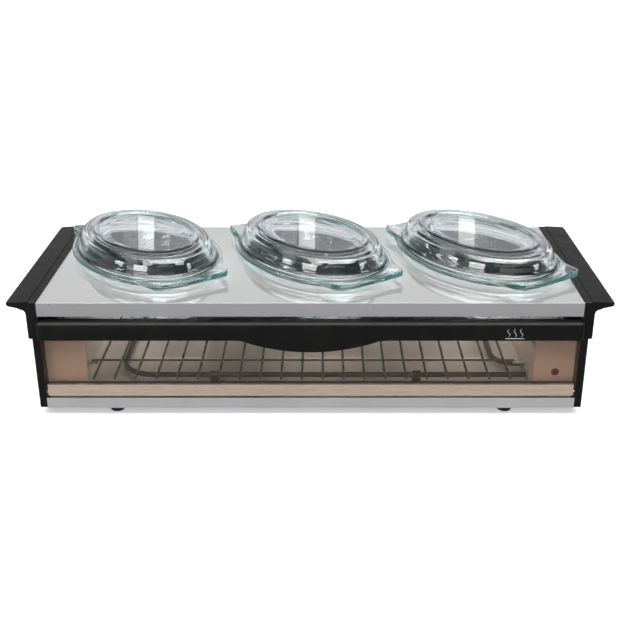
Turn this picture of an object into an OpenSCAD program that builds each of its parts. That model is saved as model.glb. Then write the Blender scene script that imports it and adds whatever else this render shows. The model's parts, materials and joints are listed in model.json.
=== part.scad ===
// Electric buffet server: a heated case with a drop-down glass door, a wire
// rack over a heating element, and three covered glass dishes let into its top.
// Row frame: X right, Y back, Z up, with Z = 0 on the table.

/* [Case] */
// Width between the outer faces of the two black cheeks
case_w = 650; // [640:1:680]
// Depth of the case from its front edge to its rear edge
case_d = 272; // [272:1:290]
// Height of the top panel above the table
panel_z = 147; // [147:1:155]
// Height of the feet under the case
foot_h = 10; // [8:1:12]
// Thickness of each cheek
cheek_t = 8.5; // [7:0.5:10]
// Thickness of the folded sheet metal
sheet_t = 1.2; // [1:0.1:1.5]
// Height of the folded lip at the front and back of the top panel
lip_h = 17; // [14:1:20]
// Height of the folded edge of the base tray
tray_h = 13.2; // [12:0.1:13.2]

/* [Handles] */
// Reach of each side handle beyond its cheek
handle_reach = 27; // [24:1:34]
// Height of the handle's mounting plate
handle_h = 47; // [40:1:60]
// Thickness of the handle at its outer edge
handle_t = 4; // [3:0.5:6]

/* [Door] */
// Height of the black bar along the top of the door
bar_h = 22.5; // [20:0.5:24]
// How far the bar stands in front of the case
bar_proud = 9; // [7:0.5:12]
// How far the curved grip hangs below the middle of the bar
grip_drop = 15; // [10:1:20]
// Length of the curved grip along the bar
grip_w = 164; // [120:1:200]
// Thickness of the door glass
glass_t = 3; // [3:0.5:3]
// Height of the rail along the bottom of the door
rail_h = 16.4; // [15:0.1:16.4]
// Diameter of the two pivot pins
pivot_d = 5; // [4:0.5:5]

/* [Dishes] */
// Distance between the centres of neighbouring dishes
dish_pitch = 212; // [205:1:212]
// Angle of each dish's long axis, from the X axis
dish_turn = -56; // [-60:1:-50]
// Half length of the dish at the panel
dish_a = 112; // [108:1:112]
// Half width of the dish at the panel
dish_b = 75; // [72:1:75]
// Depth of the dish below the panel
dish_deep = 62; // [50:1:62]
// Gap between the dish and the edge of its cut-out
dish_gap = 1; // [0.5:0.5:2]

/* [Rack and element] */
// Number of front-to-back wires in the rack
rack_wires = 21; // [15:1:21]
// Distance between the front-to-back wires
rack_pitch = 25; // [20:1:25]
// Diameter of the front-to-back wires
rack_d = 3; // [2.5:0.5:3.5]
// Height of the rack wires above the table
rack_z = 44.5; // [43:0.5:46]
// Diameter of the heating element's tube
element_d = 6.6; // [6:0.1:7]
// Radius of the heating element's bends
element_r = 40; // [30:1:45]

/* [Hidden] */

$fn = 64;
eps = 0.05;

// The case in plan: its front edge, its middle and the space between the cheeks
rear_proud = 15;
y0 = -(bar_proud + case_d + rear_proud) / 2 + bar_proud;
y1 = y0 + case_d;
cheek_out = case_w / 2;
cheek_in = cheek_out - cheek_t;
plate_in = cheek_in - 1;
under_panel = panel_z - sheet_t;
tray_top = foot_h + sheet_t;
floor_z = foot_h + 16;
cheek_top = panel_z + 1.5;
dish_y = y0 + 152.5;
dish_x = [-dish_pitch, 0, dish_pitch];

// The warming cavity: its side walls, and the faces that mask its two ends
face_y = y0 + 12;
wall_left = -280;
wall_right = 267;
wall_top = 80;
face_top = 104;
wall_back = y0 + 266;
face_inner = 267;

// The door: bar, glass and rail, hinged on pins near the rail's lower edge
bar_top = panel_z - lip_h - 4.8;
bar_low = bar_top - bar_h;
bar_back = y0 + 6;
door_half = plate_in - 1.5;
bar_half = door_half + 3.5;
glass_y = y0 + 2.5;
rail_low = foot_h + 15.6;
rail_top = rail_low + rail_h;
rail_front = y0 + 0.5;
rail_back = y0 + 8;
pivot_y = y0 + 4;
pivot_z = rail_low + 4.2;
strike_x = 303;
strike_z = 118;

// The heating element's route, on one level
element_z = floor_z + 7;
element_front = y0 + 44;
element_back = y0 + 220;
element_return = y0 + 75;
element_left = -235;
element_right = 230;
element_end = 284;
return_r = 26;
clip_x = [-119, 130];

// The rack's place and its cross wires
rack_x0 = -260.5;
rack_front = y0 + 10.5;
rack_back = y0 + 258;
cross_d = 2.5;
cross_z = rack_z - rack_d / 2 - cross_d / 2 + 0.3;
cross_y = [y0 + 66, y0 + 215];
peg_z = cross_z - cross_d / 2 - 2.3;

// Fasteners
screw_d = 3.9;
tap_d = 4;
clear_d = 4.4;
foot_x = 236;
foot_y = [y0 + 17.5, y1 - 20];
handle_screw_y = [y0 + 36, y0 + 136, y0 + 236];
handle_screw_z = cheek_top - 32;
plate_screw_y = [y0 + 30, y0 + 242];
plate_screw_z = [tray_top + 5, under_panel - 8];
back_screw_x = [-280, 0, 240];
back_low_z = tray_top + 6;
back_high_z = under_panel - 8;

// Electrical parts behind the right-hand face
neon_x = 292.6;
neon_z = 53;
gland_x = 292;
gland_z = 52;
gland_bore = 7.2;
block_y = y0 + 205;
block_x = 280;
stat_y = y0 + 121;
stat_z = 43;
wire_d = 2.4;

/* Shapes used by several parts */

// A cylinder of diameter d along X, from x = a to x = b
module rod_x(d, a, b) {
    translate([a, 0, 0]) rotate([0, 90, 0]) cylinder(d = d, h = b - a);
}

// A cylinder of diameter d along Y, from y = a to y = b
module rod_y(d, a, b) {
    translate([0, b, 0]) rotate([90, 0, 0]) cylinder(d = d, h = b - a);
}

// A flat outline with rounded corners, its low corner at the origin
module round_rect(w, h, r) {
    translate([r, 0]) square([w - 2 * r, h]);
    translate([0, r]) square([w, h - 2 * r]);
    for (x = [r, w - r], y = [r, h - r]) translate([x, y]) circle(r);
}

// A pan-head screw along +Z, with its shank down and the head's top at z = head
module pan_screw(shank, head_d = 7.5, head = 2.2) {
    translate([0, 0, -shank]) cylinder(d = screw_d, h = shank + eps);
    difference() {
        union() {
            cylinder(d = head_d, h = head - 0.6);
            translate([0, 0, head - 0.6]) cylinder(d1 = head_d, d2 = head_d - 1.6, h = 0.6);
        }
        for (a = [0, 90]) rotate(a)
            translate([-2, -0.4, head - 1]) cube([4, 0.8, 2]);
    }
}

// A closed skin through rings of points that run from one flat cap to the other
module skin(rings) {
    n = len(rings[0]);
    last = len(rings) - 1;
    polyhedron(points = [for (r = rings) each r], faces = concat(
        [[for (i = [0 : n - 1]) i]],
        [for (k = [0 : last - 1], i = [0 : n - 1])
            [k * n + i, (k + 1) * n + i, (k + 1) * n + (i + 1) % n, k * n + (i + 1) % n]],
        [[for (i = [n - 1 : -1 : 0]) last * n + i]]), convexity = 6);
}

// Each ring's first spoke, turned no more than the bends need, from the spoke before
function spokes(ways, spoke, i = 0) =
    i == len(ways) ? []
    : let (flat = spoke - (spoke * ways[i]) * ways[i], next = flat / norm(flat))
        concat([next], spokes(ways, next, i + 1));

// An eight-sided lead of diameter d through a list of points
module wire(points, d) {
    last = len(points) - 1;
    steps = [for (i = [0 : last]) points[min(i + 1, last)] - points[max(i - 1, 0)]];
    ways = [for (step = steps) step / norm(step)];
    first = spokes(ways, [0.3, 0.1, 1]);
    skin([for (i = [0 : last]) [for (t = [0 : 45 : 315])
        points[i] + d / 2 * (cos(t) * first[i] + sin(t) * cross(ways[i], first[i]))]]);
}

// Places a child at each of the four feet
module at_feet() {
    for (x = [-foot_x, foot_x], y = foot_y) translate([x, y, 0]) children();
}

// Mirrors a right-hand shape to the side s, which is 1 for right and -1 for left
module side(s) {
    mirror([s < 0 ? 1 : 0, 0, 0]) children();
}

/* Case */

// The ellipse that each dish drops through
module dish_cutout(extra) {
    a = dish_a + dish_gap + extra;
    b = dish_b + dish_gap + extra;
    rotate(dish_turn) polygon([for (t = [0 : 5 : 355]) [a * cos(t), b * sin(t)]]);
}

module top_panel() {
    color("silver") {
        difference() {
            translate([-cheek_in, y0, under_panel]) cube([2 * cheek_in, case_d, sheet_t]);
            for (x = dish_x) translate([x, dish_y, under_panel - 1])
                linear_extrude(sheet_t + 2) dish_cutout(0);
        }
        // A turned-down collar stiffens the edge of each cut-out
        for (x = dish_x) translate([x, dish_y, under_panel - 2])
            linear_extrude(2 + eps) difference() {
                dish_cutout(sheet_t);
                dish_cutout(0);
            }
        difference() {
            for (y = [y0, y1 - sheet_t]) translate([-cheek_in, y, panel_z - lip_h])
                cube([2 * cheek_in, sheet_t, lip_h - sheet_t + eps]);
            for (x = back_screw_x) translate([x, 0, back_high_z]) rod_y(clear_d, y1 - 5, y1 + 5);
        }
    }
}

// A plain black end moulding with a shallow groove under the handle's flange
module cheek(s) {
    color("#2a2827") side(s) difference() {
        translate([cheek_in, y0, foot_h]) rotate([90, 0, 90])
            linear_extrude(cheek_t) round_rect(case_d, cheek_top - foot_h, 2.5);
        for (y = plate_screw_y, z = plate_screw_z) translate([0, y, z])
            rod_x(tap_d, cheek_in - 1, cheek_in + 6);
        for (y = handle_screw_y) translate([0, y, handle_screw_z])
            rod_x(clear_d, cheek_in - 1, cheek_out + 1);
        translate([0, pivot_y, pivot_z]) rod_x(pivot_d + 0.1, cheek_in - 1, cheek_in + 6);
    }
}
module left_cheek() { cheek(-1); }
module right_cheek() { cheek(1); }

// A steel plate lines each cheek and carries the case's sheet metal
module end_plate(s) {
    color("lightgray") side(s) difference() {
        translate([plate_in, y0 + 0.4, tray_top])
            cube([cheek_in - plate_in, case_d - sheet_t - 0.4, under_panel - tray_top]);
        translate([plate_in - 1, y0 - 1, panel_z - lip_h - 0.2])
            cube([10, sheet_t + 1, lip_h]);
        translate([plate_in - 1, y0 - 1, foot_h])
            cube([10, sheet_t + 1, tray_h + 0.2]);
        for (y = plate_screw_y, z = plate_screw_z) translate([0, y, z])
            rod_x(clear_d, plate_in - 1, cheek_in + 1);
        for (y = handle_screw_y) translate([0, y, handle_screw_z])
            rod_x(9, plate_in - 1, cheek_in + 1);
        translate([0, pivot_y, pivot_z]) rod_x(pivot_d + 1, plate_in - 1, cheek_in + 1);
    }
}
module left_end_plate() { end_plate(-1); }
module right_end_plate() { end_plate(1); }

// The handle's section: a drooping flange that runs in a curve into a mounting plate
module handle_section() {
    plate = 4.3;
    droop = 1.2;
    r = 6;
    difference() {
        polygon([[0, 0], [handle_reach - 2, -droop], [handle_reach, -droop - 1.6],
            [handle_reach - 0.4, -droop - handle_t], [handle_reach - 14, -8.2],
            for (t = [90 : 15 : 180]) [plate + r + r * cos(t), -9.8 - r + r * sin(t)],
            [plate, -handle_h], [0, -handle_h]]);
        translate([plate, -handle_h]) rotate(45) square(1.6, center = true);
    }
}

module handle(s) {
    color("#343131") side(s) difference() {
        intersection() {
            translate([cheek_out, y1, cheek_top]) rotate([90, 0, 0])
                linear_extrude(case_d) handle_section();
            translate([cheek_out - 10, y0, 0]) linear_extrude(cheek_top)
                round_rect(handle_reach + 10, case_d, 5);
        }
        for (y = handle_screw_y) translate([0, y, handle_screw_z])
            rod_x(tap_d, cheek_out - 1, cheek_out + 3.4);
        // The shallow groove between the flange and the cheek's top strip
        translate([cheek_out - eps, y0 - 1, cheek_top - 0.8]) cube([1, case_d + 2, 2]);
    }
}
module left_handle() { handle(-1); }
module right_handle() { handle(1); }

module base_tray() {
    color("silver") difference() {
        union() {
            translate([-cheek_in, y0, foot_h]) cube([2 * cheek_in, case_d, sheet_t]);
            for (y = [y0, y1 - sheet_t]) translate([-cheek_in, y, foot_h])
                cube([2 * cheek_in, sheet_t, tray_h]);
        }
        at_feet() translate([0, 0, foot_h - 1]) cylinder(d = clear_d, h = sheet_t + 2);
        for (x = back_screw_x) translate([x, 0, back_low_z]) rod_y(clear_d, y1 - 5, y1 + 5);
    }
}

module back_panel() {
    color("gray") difference() {
        translate([-plate_in, y1 - 2 * sheet_t, tray_top])
            cube([2 * plate_in, sheet_t, under_panel - tray_top]);
        translate([gland_x, 0, gland_z]) rod_y(14.2, y1 - 10, y1 + 5);
        for (x = back_screw_x, z = [back_low_z, back_high_z]) translate([x, 0, z])
            rod_y(tap_d, y1 - 10, y1 + 5);
        // Vent slots let the heat of the cavity out
        for (x = [-240 : 24 : 216]) translate([x, y1 - 10, 96]) cube([14, 20, 3]);
    }
}

// Bright sheet under the element, with turned-down edges that stand in the tray
module reflector_floor() {
    color("lightgray") {
        translate([-plate_in, y0 + 11.5, floor_z - 1])
            cube([2 * plate_in, wall_back - y0 - 10, 1]);
        for (y = [y0 + 11.5, wall_back + 0.5]) translate([-plate_in, y, tray_top])
            cube([2 * plate_in, 1, floor_z - tray_top - 1 + eps]);
        // A low rib runs across the floor
        translate([wall_left + 1.5, y0 + 105, floor_z]) rotate([90, 0, 90])
            linear_extrude(wall_right - wall_left - 3) polygon([[-2, -eps],
                [-1.2, 0.6], [1.2, 0.6], [2, -eps]]);
    }
}

// A folded cover: its face masks the end of the cavity, its wall bounds the cavity
module housing(wall, end, inner) {
    low = min(wall, end);
    difference() {
        union() {
            translate([low, face_y + 1, wall_top - 1]) cube([abs(end - wall), wall_back - face_y - 1, 1]);
            translate([wall < end ? wall : wall - 1, face_y + 1, floor_z])
                cube([1, wall_back - face_y - 1, wall_top - floor_z]);
            translate([min(inner, end), face_y, floor_z])
                cube([abs(end - inner), 1 + eps, face_top - floor_z]);
        }
        children();
    }
}

module left_end_housing() {
    color("#967869") housing(wall_left, -plate_in, -face_inner)
        for (y = cross_y) translate([0, y, peg_z]) rod_x(tap_d, wall_left - 5, wall_left + 5);
}

module right_end_housing() {
    color("#967869") housing(wall_right, plate_in, face_inner) {
        for (y = cross_y) translate([0, y, peg_z]) rod_x(tap_d, wall_right - 5, wall_right + 5);
        for (y = [element_front, element_return]) translate([0, y, element_z])
            rod_x(9, wall_right - 5, wall_right + 5);
        for (y = [-12, 12]) translate([0, stat_y + y, stat_z])
            rod_x(3.6, wall_right - 5, wall_right + 5);
        translate([neon_x, 0, neon_z]) rod_y(8, face_y - 5, face_y + 5);
    }
}

/* Heating */

// A quarter bend in the element's level, centred at c, starting at angle a
module element_bend(c, r, a) {
    translate([c[0], c[1], element_z]) rotate(a) rotate_extrude(angle = 90)
        translate([r, 0]) circle(d = element_d);
}

module heating_element() {
    x_left = element_left + element_r;
    x_right = element_right - element_r;
    y_front = element_front + element_r;
    y_back = element_back - element_r;
    y_turn = element_return + return_r;
    color("#4b403c") {
        translate([0, element_front, element_z]) rod_x(element_d, x_left, element_end);
        element_bend([x_left, y_front], element_r, 180);
        translate([element_left, 0, element_z]) rod_y(element_d, y_front, y_back);
        element_bend([x_left, y_back], element_r, 90);
        translate([0, element_back, element_z]) rod_x(element_d, x_left, x_right);
        element_bend([x_right, y_back], element_r, 0);
        translate([element_right, 0, element_z]) rod_y(element_d, y_turn, y_back);
        element_bend([element_right + return_r, y_turn], return_r, 180);
        translate([0, element_return, element_z])
            rod_x(element_d, element_right + return_r, element_end);
    }
}

// A ceramic stub and a spade tab close each cold end
module element_terminals() {
    color("white") for (y = [element_front, element_return]) translate([0, y, element_z]) {
        rod_x(element_d, element_end, element_end + 4);
        translate([element_end + 4, -3.15, -0.4]) cube([8, 6.3, 0.8]);
    }
}

// Flanged bushes seat the tube ends in the cavity's right-hand wall
module element_bushes() {
    color("silver") for (y = [element_front, element_return]) translate([0, y, element_z])
        difference() {
            union() {
                rod_x(12, wall_right - 2.5, wall_right);
                rod_x(8.8, wall_right - eps, wall_right + 1);
                rod_x(12, wall_right + 1, wall_right + 4);
            }
            rod_x(element_d + 0.1, wall_right - 5, wall_right + 6);
        }
}

module element_clips() {
    color("silver") for (x = clip_x, y = [element_front, element_back])
        translate([x, y, 0]) difference() {
            union() {
                translate([-5, -9, floor_z]) cube([10, 18, 1]);
                translate([-5, -5, floor_z]) cube([10, 10, element_z - floor_z]);
                translate([0, 0, element_z]) rod_x(10, -5, 5);
            }
            translate([0, 0, element_z]) rod_x(element_d + 0.1, -6, 6);
            translate([-6, -2.6, floor_z + 1]) cube([12, 5.2, 1.6]);
        }
}

// Short shouldered pegs in the side walls carry the rack's cross wires
module rack_pegs() {
    color("silver") for (y = cross_y) translate([0, y, peg_z]) {
        rod_x(screw_d, wall_left - 3, wall_left + 13);
        rod_x(6.5, wall_left, wall_left + 1.5);
        rod_x(6.5, wall_left - 3, wall_left - 1);
        rod_x(screw_d, wall_right - 15, wall_right + 3);
        rod_x(6.5, wall_right - 1.5, wall_right);
        rod_x(6.5, wall_right + 1, wall_right + 3);
    }
}

module wire_rack() {
    overhang = 15;
    color("#4b403c") {
        for (i = [0 : rack_wires - 1])
            translate([rack_x0 + i * rack_pitch, 0, rack_z]) rod_y(rack_d, rack_front, rack_back);
        for (y = cross_y) translate([0, y, cross_z])
            rod_x(cross_d, rack_x0 - overhang, rack_x0 + (rack_wires - 1) * rack_pitch + overhang);
    }
}

/* Electrical parts */

// A snap-action disc thermostat on the back of the cavity's right-hand wall
module thermostat() {
    color("#3a3532") translate([wall_right + 1, stat_y, stat_z]) {
        difference() {
            translate([0, -16, -4]) cube([1.2, 32, 8]);
            for (y = [-12, 12]) translate([0, y, 0]) rod_x(3.4, -1, 2);
        }
        rod_x(15, 1.2 - eps, 10);
        for (y = [-4.5, 4.5]) translate([10 - eps, y - 2.4, -0.4]) cube([8, 4.8, 0.8]);
    }
}

module thermostat_screws() {
    color("silver") for (y = [-12, 12]) translate([wall_right, stat_y + y, stat_z]) {
        rod_x(3.3, -eps, 3.5);
        difference() {
            rod_x(6, -1.6, 0);
            translate([-2, -2, -0.4]) cube([1, 4, 0.8]);
        }
    }
}

module thermal_fuse() {
    color("gold") translate([block_x + 22, block_y - 14, floor_z + 20]) {
        rod_y(4, -14, 0);
        rod_y(1.2, -22, -14);
        rod_y(1.2, 0, 8);
    }
}

// A three-way screw terminal block stands on the floor of the right-hand end
module terminal_block() {
    color("ivory") translate([block_x, block_y, floor_z]) difference() {
        cube([24, 20, 13]);
        for (x = [4, 12, 20]) {
            translate([x, 0, 6]) rod_y(3.2, -1, 21);
            for (y = [5, 15]) translate([x, y, 8]) cylinder(d = 3.6, h = 6);
        }
        for (x = [8, 16]) translate([x - 0.6, -1, 9]) cube([1.2, 22, 5]);
    }
}

// A red domed lens clips through the right-hand face
module neon_lens() {
    dome_r = 5.2;
    color("red") translate([neon_x, face_y, neon_z]) {
        rotate([90, 0, 0]) rotate_extrude() intersection() {
            translate([0, -2.2]) circle(dome_r);
            square([6, 6]);
        }
        rod_y(7.8, -eps, 4);
    }
}

module neon_body() {
    color("ivory") translate([neon_x, face_y, neon_z]) {
        rod_y(7.4, 4, 24);
        for (x = [-2, 2]) translate([x, 0, 0]) rod_y(1.2, 24 - eps, 30);
    }
}

module neon_nut() {
    color("silver") translate([neon_x, face_y, neon_z]) difference() {
        rod_y(11, 1.1, 3.1);
        rod_y(7.9, 0, 4);
    }
}

// Heat-proof leads join the block, fuse, thermostat, neon and element
module internal_wires() {
    low = floor_z + 6;
    mid = floor_z + 30;
    spade = element_end + 12;
    tab = wall_right + 19.05;
    fuse = [block_x + 22, block_y - 14, floor_z + 20];
    color("saddlebrown") {
        wire([[block_x + 20, block_y - eps, low], [block_x + 20, block_y - 4, low],
            [fuse[0], block_y - 5, fuse[2]], [fuse[0], fuse[1] + 8, fuse[2]]], wire_d);
        wire([[fuse[0], fuse[1] - 22, fuse[2]], [fuse[0], fuse[1] - 30, fuse[2]],
            [tab + 12, stat_y + 4.5, stat_z], [tab, stat_y + 4.5, stat_z]], wire_d);
        wire([[tab, stat_y - 4.5, stat_z], [tab + 12, stat_y - 4.5, stat_z],
            [spade + 6, element_return + 12, element_z + 4],
            [spade + 6, element_return, element_z], [spade, element_return, element_z]], wire_d);
    }
    color("steelblue") {
        wire([[block_x + 12, block_y - eps, low], [block_x + 12, block_y - 8, low],
            [spade + 12, block_y - 60, low - 3], [spade + 12, element_front + 8, low - 3],
            [spade + 6, element_front, element_z], [spade, element_front, element_z]], wire_d);
    }
    color("gray") for (x = [-2, 2])
        wire([[neon_x + x, face_y + 30.4, neon_z], [neon_x + x, face_y + 60, mid + 6],
            [neon_x + x, block_y - 40, mid + 6], [neon_x + x, block_y - 30, mid + 14]], wire_d / 2);
}

// The earth tag is screwed to the rear panel beside the gland
module earth_tag() {
    color("gold") translate([gland_x - 18, y1 - 2 * sheet_t, gland_z - 14]) {
        difference() {
            rod_y(8, -0.8, 0);
            rod_y(3.4, -2, 1);
        }
        translate([-2, -0.8, -10]) cube([4, 0.8, 7]);
        rod_y(3.2, -5, 0);
        rod_y(6, -2.8, -0.8);
    }
}

// A flanged sleeve lines the cord's inlet in the rear panel
module cable_gland() {
    back = y1 - sheet_t;
    color("#2a2827") translate([gland_x, 0, gland_z]) difference() {
        union() {
            rod_y(14, back - 12, back + eps);
            rod_y(20, back, back + 3);
            translate([0, y1 + rear_proud, 0]) rotate([90, 0, 0])
                cylinder(d1 = 11, d2 = 15, h = rear_proud + sheet_t - 3 + eps);
        }
        rod_y(gland_bore, back - 20, y1 + rear_proud + 5);
    }
}

module gland_nut() {
    inner = y1 - 2 * sheet_t;
    color("#2a2827") translate([gland_x, 0, gland_z]) difference() {
        translate([0, inner, 0]) rotate([90, 0, 0]) cylinder(d = 20, h = 5, $fn = 6);
        rod_y(14.1, inner - 10, inner + 5);
    }
}

/* Door */

// The bar's outline in plan: its front part is wider and covers the end plates' edges
module bar_plan() {
    front = y0 - bar_proud;
    depth = bar_proud - 1;
    r = depth / 2;
    translate([-door_half, front + r]) square([2 * door_half, bar_back - front - r]);
    translate([-bar_half + r, front]) square([2 * bar_half - 2 * r, depth]);
    for (s = [-1, 1]) translate([s * (bar_half - r), front + r]) circle(r);
}

// The bar's section: a rounded front, and a thin tongue that hangs as the grip
module bar_section() {
    r = 5;
    tongue = 3.6;
    low = bar_low - grip_drop;
    translate([y0 - bar_proud, bar_low]) {
        translate([r, 0]) square([bar_back - y0 + bar_proud - r, bar_h]);
        square([r + 1, bar_h - r]);
        translate([r, bar_h - r]) circle(r);
    }
    translate([y0 - bar_proud, low + tongue / 2]) square([tongue, grip_drop]);
    translate([y0 - bar_proud + tongue / 2, low + tongue / 2]) circle(d = tongue);
}

// The bar's front view: a plain strip, with an arc below it for the grip
module bar_front() {
    r = (pow(grip_w / 2, 2) + pow(grip_drop, 2)) / (2 * grip_drop);
    translate([-bar_half, bar_low]) square([2 * bar_half, bar_h]);
    intersection() {
        translate([0, bar_low - grip_drop + r]) circle(r, $fn = 256);
        translate([-grip_w / 2, bar_low - grip_drop]) square([grip_w, grip_drop + 1]);
    }
}

module door_handle_bar() {
    color("#2a2827") difference() {
        intersection() {
            translate([-bar_half, 0, 0]) rotate([90, 0, 90])
                linear_extrude(2 * bar_half) bar_section();
            translate([0, bar_back, 0]) rotate([90, 0, 0])
                linear_extrude(bar_back - y0 + bar_proud) bar_front();
            translate([0, 0, bar_low - grip_drop - 1])
                linear_extrude(bar_h + grip_drop + 2) bar_plan();
        }
        translate([-door_half + 1, glass_y, bar_low - 1])
            cube([2 * door_half - 2, glass_t, 11]);
        for (s = [-1, 1]) translate([s * strike_x, 0, strike_z])
            rod_y(2.9, bar_back - 0.5 - glass_t, bar_back + 1);
    }
}

module door_glass() {
    color("rosybrown", 0.4)
        translate([-door_half + 1, glass_y, rail_top - 8])
            cube([2 * door_half - 2, glass_t, bar_low + 10 - rail_top + 8]);
}

module door_bottom_rail() {
    r = 1.5;
    color("tan") difference() {
        translate([-door_half, rail_front, rail_low]) rotate([90, 0, 90])
            linear_extrude(2 * door_half) round_rect(rail_back - rail_front, rail_h, r);
        translate([-door_half - 1, glass_y - 1, rail_top - 9])
            cube([2 * door_half + 2, glass_t + 2, 10]);
        for (s = [-1, 1]) translate([s * door_half, pivot_y, pivot_z])
            rod_x(pivot_d, -14, 14);
    }
}

// A soft channel seats the glass in the rail and shows as a dark line above it
module door_seal() {
    color("#1c1a1a") difference() {
        translate([-door_half + 0.5, glass_y - 1, rail_top - 9])
            cube([2 * door_half - 1, glass_t + 2, 10.2]);
        translate([-door_half + 1, glass_y, rail_top - 8])
            cube([2 * door_half - 2, glass_t, 10]);
    }
}

module door_pivot_pins() {
    color("silver") for (s = [-1, 1]) side(s) translate([0, pivot_y, pivot_z]) difference() {
        rod_x(pivot_d, door_half - 14, cheek_in + 5.5);
        rod_x(2, cheek_in + 3, cheek_in + 6);
    }
}

module door_strikes() {
    color("silver") for (s = [-1, 1]) translate([s * strike_x, bar_back, strike_z]) difference() {
        translate([-7, 0, -5]) cube([14, 1, 10]);
        rod_y(3.2, -1, 2);
    }
}

module strike_screws() {
    color("silver") for (s = [-1, 1]) translate([s * strike_x, bar_back, strike_z]) {
        rod_y(2.8, -3, eps);
        rod_y(3.1, 0, 1);
    }
}

// Two magnets inside the case hold the door shut
module magnetic_catches() {
    color("#3a3532") for (s = [-1, 1]) side(s)
        translate([strike_x - 7, bar_back + 1.3, strike_z - 5])
            cube([plate_in - strike_x + 7, 18, 10]);
}

/* Fasteners and feet */

module feet() {
    color("#1c1a1a") at_feet() difference() {
        cylinder(d1 = 17, d2 = 18, h = foot_h);
        translate([0, 0, -1]) cylinder(d = 9, h = 4.5);
        cylinder(d = clear_d, h = foot_h + 1);
    }
}

module foot_screws() {
    color("silver") at_feet() translate([0, 0, 3.5]) rotate([180, 0, 0]) pan_screw(foot_h + 1.2);
}

module foot_nuts() {
    color("silver") at_feet() translate([0, 0, tray_top]) difference() {
        cylinder(d = 8, h = 2.8, $fn = 6);
        translate([0, 0, -1]) cylinder(d = tap_d, h = 5);
    }
}

module cheek_screws() {
    color("silver") for (s = [-1, 1], y = plate_screw_y, z = plate_screw_z)
        side(s) translate([plate_in, y, z]) rotate([0, -90, 0]) pan_screw(6);
}

module handle_screws() {
    color("silver") for (s = [-1, 1], y = handle_screw_y)
        side(s) translate([cheek_in, y, handle_screw_z]) rotate([0, -90, 0])
            pan_screw(cheek_t + 3);
}

module back_screws() {
    color("silver") for (x = back_screw_x, z = [back_low_z, back_high_z])
        translate([x, y1, z]) rotate([-90, 0, 0]) pan_screw(2 * sheet_t + 1.2);
}

/* Dishes and lids */

// Half length of an oval of half sizes a and b at the height y across it
function oval_x(a, b, y) = a * sqrt(max(0, 1 - pow(y / b, 2)));

// How far a fishtail ear stands beyond the rim's oval at the height y
ear_y = 47;
ear_root = 66;
ear_x = dish_a + 20.5;
rim_a = dish_a + 12;
rim_b = dish_b + 12;
function ear(y) =
    y < ear_y ? ear_x + 2 * (1 - pow(y / ear_y, 2)) - oval_x(rim_a, rim_b, y)
    : y < ear_root ? (ear_x - oval_x(rim_a, rim_b, ear_y)) * pow((ear_root - y) / (ear_root - ear_y), 2)
    : 0;

// One ring of points: half sizes a and b, height z, and the share of the ears it has
glass_n = 40;
function ring(a, b, z, ears = 0) = [for (i = [0 : glass_n - 1])
    let (t = 360 * i / glass_n, y = b * sin(t))
    [a * cos(t) + ears * sign(cos(t)) * ear(abs(y)), y, z]];

module dish(i) {
    a = dish_a;
    b = dish_b;
    low = -dish_deep;
    color("lightcyan", 0.5) translate([dish_x[i], dish_y, panel_z]) rotate(dish_turn) skin([
        ring(a - 34, b - 34, low), ring(a - 24, b - 24, low + 2.5),
        ring(a - 18.5, b - 18.5, low + 10), ring(a - 9, b - 9, low * 0.45),
        ring(a, b, 0), ring(a + 3.5, b + 3.5, 0), ring(a + 5, b + 5, 3.5),
        ring(a + 12, b + 12, 7, 1), ring(a + 12, b + 12, 11, 1),
        ring(a + 8.5, b + 8.5, 11), ring(a + 7.5, b + 7.5, 9.2),
        ring(a, b, 9.2), ring(a - 4, b - 4, 0), ring(a - 13.5, b - 13.5, low * 0.45),
        ring(a - 24, b - 24, low + 10), ring(a - 34, b - 34, low + 5)]);
}
module dish_left() { dish(0); }
module dish_middle() { dish(1); }
module dish_right() { dish(2); }

module lid(i) {
    a = dish_a;
    b = dish_b;
    color("lightcyan", 0.5) translate([dish_x[i], dish_y, panel_z]) rotate(dish_turn) skin([
        ring(a - 32, b - 26, 29), ring(a - 10, b - 10, 29.8), ring(a - 5, b - 5, 25.5),
        ring(a - 3, b - 3.5, 14), ring(a + 1.5, b + 1.5, 9.2), ring(a + 6.5, b + 6.5, 9.2),
        ring(a + 6.5, b + 6.5, 13), ring(a + 3.5, b + 3.5, 14), ring(a + 2, b + 1.8, 17),
        ring(a - 0.3, b - 0.5, 27.5), ring(a - 4.5, b - 4.5, 33), ring(a - 12, b - 10.5, 34.8),
        ring(a - 23, b - 17.5, 35.6), ring(a - 26, b - 20.5, 35.6), ring(a - 29, b - 23.5, 33.5)]);
}
module lid_left() { lid(0); }
module lid_middle() { lid(1); }
module lid_right() { lid(2); }

top_panel();
left_cheek();
right_cheek();
left_end_plate();
right_end_plate();
left_handle();
right_handle();
base_tray();
back_panel();
reflector_floor();
left_end_housing();
right_end_housing();
heating_element();
element_terminals();
element_bushes();
element_clips();
rack_pegs();
wire_rack();
thermostat();
thermostat_screws();
thermal_fuse();
terminal_block();
neon_lens();
neon_body();
neon_nut();
internal_wires();
earth_tag();
cable_gland();
gland_nut();
magnetic_catches();
feet();
foot_screws();
foot_nuts();
cheek_screws();
handle_screws();
back_screws();
door_handle_bar();
door_glass();
door_bottom_rail();
door_seal();
door_pivot_pins();
door_strikes();
strike_screws();
dish_left();
dish_middle();
dish_right();
lid_left();
lid_middle();
lid_right();
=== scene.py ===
"""Looks of the electric buffet server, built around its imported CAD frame.

Everything is in metres in the row frame: X right, Y back, Z up, Z = 0 on the table.
Sizes that the frame doesn't give are named here in millimetres and used as N * MM.
"""

import json
import math

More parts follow.
